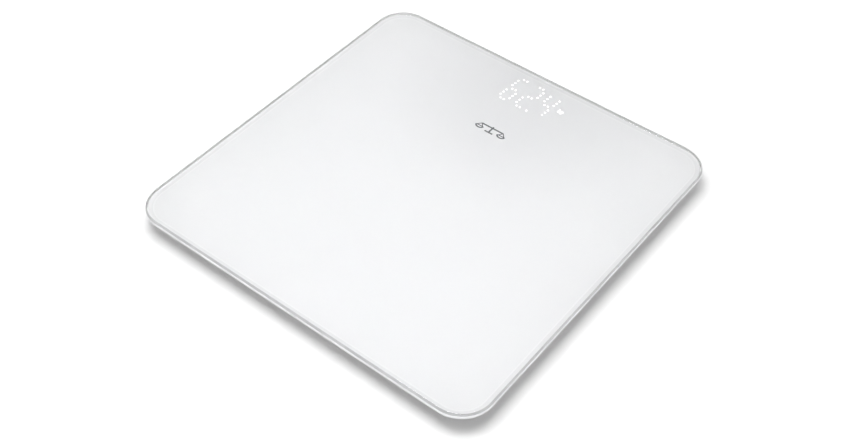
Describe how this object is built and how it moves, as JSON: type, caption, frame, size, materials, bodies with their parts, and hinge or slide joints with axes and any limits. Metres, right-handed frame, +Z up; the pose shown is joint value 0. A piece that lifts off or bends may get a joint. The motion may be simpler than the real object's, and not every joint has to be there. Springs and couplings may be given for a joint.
{
  "type": "personal scale",
  "caption": "Square glass-topped personal weighing scale with a hidden dot-matrix read-out, a moulded tray and a load-cell foot under each corner.",
  "frame": {"origin": "point of the standing plane under the middle of the glass", "axes": "+Z up, +Y towards the read-out edge, +X along the reading direction"},
  "size_m": [0.35, 0.35, 0.023],
  "materials": {
    "clear_glass": "polished toughened glass",
    "white_print": "opaque white print seen through glass",
    "bonding_tape": "closed-cell foam tape",
    "tray_plastic": "fine spark-eroded texture",
    "seat_plastic": "plain moulded",
    "foot_plastic": "plain moulded",
    "foot_rubber": "matt",
    "cell_steel": "nickel plated",
    "gauge_film": "amber film with foil",
    "circuit_board": "green solder mask",
    "chip_resin": "moulded epoxy",
    "connector_nylon": "natural nylon",
    "plated_steel": "nickel plated",
    "battery_sleeve": "shrink sleeve",
    "lead_red": "PVC",
    "lead_black": "PVC",
    "lead_sleeve": "PVC sleeve",
    "ribbon_film": "polyimide film",
    "mask_plastic": "white reflector",
    "led_glow": "lit white",
    "button_plastic": "plain moulded",
    "mark_ink": "dark grey print"
  },
  "bodies": {
    "scale": {"adhesive_pad_back_left": "bonding_tape", "adhesive_pad_back_right": "bonding_tape", "adhesive_pad_front_left": "bonding_tape", "adhesive_pad_front_right": "bonding_tape", "back_film": "white_print", "base_tray": "tray_plastic", "battery_cell_1": "battery_sleeve", "battery_cell_2": "battery_sleeve", "battery_cell_3": "battery_sleeve", "battery_lead_negative": "lead_black", "battery_lead_positive": "lead_red", "battery_plates": "plated_steel", "battery_springs": "plated_steel", "board_components": "chip_resin", "board_screws": "plated_steel", "cell_lead_back_left": "lead_sleeve", "cell_lead_back_right": "lead_sleeve", "cell_lead_front_left": "lead_sleeve", "cell_lead_front_right": "lead_sleeve", "cell_seat_back_left": "seat_plastic", "cell_seat_back_right": "seat_plastic", "cell_seat_front_left": "seat_plastic", "cell_seat_front_right": "seat_plastic", "controller_chip": "chip_resin", "display_board": "circuit_board", "display_leds": "led_glow", "display_ribbon": "ribbon_film", "glass_platform": "clear_glass", "lead_connectors": "connector_nylon", "light_mask": "mask_plastic", "load_cell_back_left": "cell_steel", "load_cell_back_right": "cell_steel", "load_cell_front_left": "cell_steel", "load_cell_front_right": "cell_steel", "main_board": "circuit_board", "rim_tape": "bonding_tape", "strain_gauges_back_left": "gauge_film", "strain_gauges_back_right": "gauge_film", "strain_gauges_front_left": "gauge_film", "strain_gauges_front_right": "gauge_film", "tact_switch": "chip_resin"},
    "unit_button": {"unit_button": "button_plastic", "switch_plunger": "button_plastic"},
    "battery_door": {"battery_door": "tray_plastic"},
    "foot_back_left": {"foot_cap_back_left": "foot_plastic", "foot_pad_back_left": "foot_rubber"},
    "foot_back_right": {"foot_cap_back_right": "foot_plastic", "foot_pad_back_right": "foot_rubber"},
    "foot_front_left": {"foot_cap_front_left": "foot_plastic", "foot_pad_front_left": "foot_rubber"},
    "foot_front_right": {"foot_cap_front_right": "foot_plastic", "foot_pad_front_right": "foot_rubber"}
  },
  "joints": [
    {"name": "foot_back_left_travel", "type": "slide", "parent": "scale", "child": "foot_back_left", "axis": [0, 0, 1], "range_m": [0, 0.0005], "stiffness_N_per_m": 2000, "springref_m": -0.005, "deforming": ["load_cell_back_left"]},
    {"name": "foot_back_right_travel", "type": "slide", "parent": "scale", "child": "foot_back_right", "axis": [0, 0, 1], "range_m": [0, 0.0005], "stiffness_N_per_m": 2000, "springref_m": -0.005, "deforming": ["load_cell_back_right"]},
    {"name": "foot_front_left_travel", "type": "slide", "parent": "scale", "child": "foot_front_left", "axis": [0, 0, 1], "range_m": [0, 0.0005], "stiffness_N_per_m": 2000, "springref_m": -0.005, "deforming": ["load_cell_front_left"]},
    {"name": "foot_front_right_travel", "type": "slide", "parent": "scale", "child": "foot_front_right", "axis": [0, 0, 1], "range_m": [0, 0.0005], "stiffness_N_per_m": 2000, "springref_m": -0.005, "deforming": ["load_cell_front_right"]},
    {"name": "unit_button_press", "type": "slide", "parent": "scale", "child": "unit_button", "axis": [0, 0, 1], "range_m": [0, 0.0005], "stiffness_N_per_m": 1500, "springref_m": -0.001},
    {"name": "battery_door_removal", "type": "slide", "parent": "scale", "child": "battery_door", "axis": [0, 0, -1], "range_m": [0, 0.02]}
  ]
}
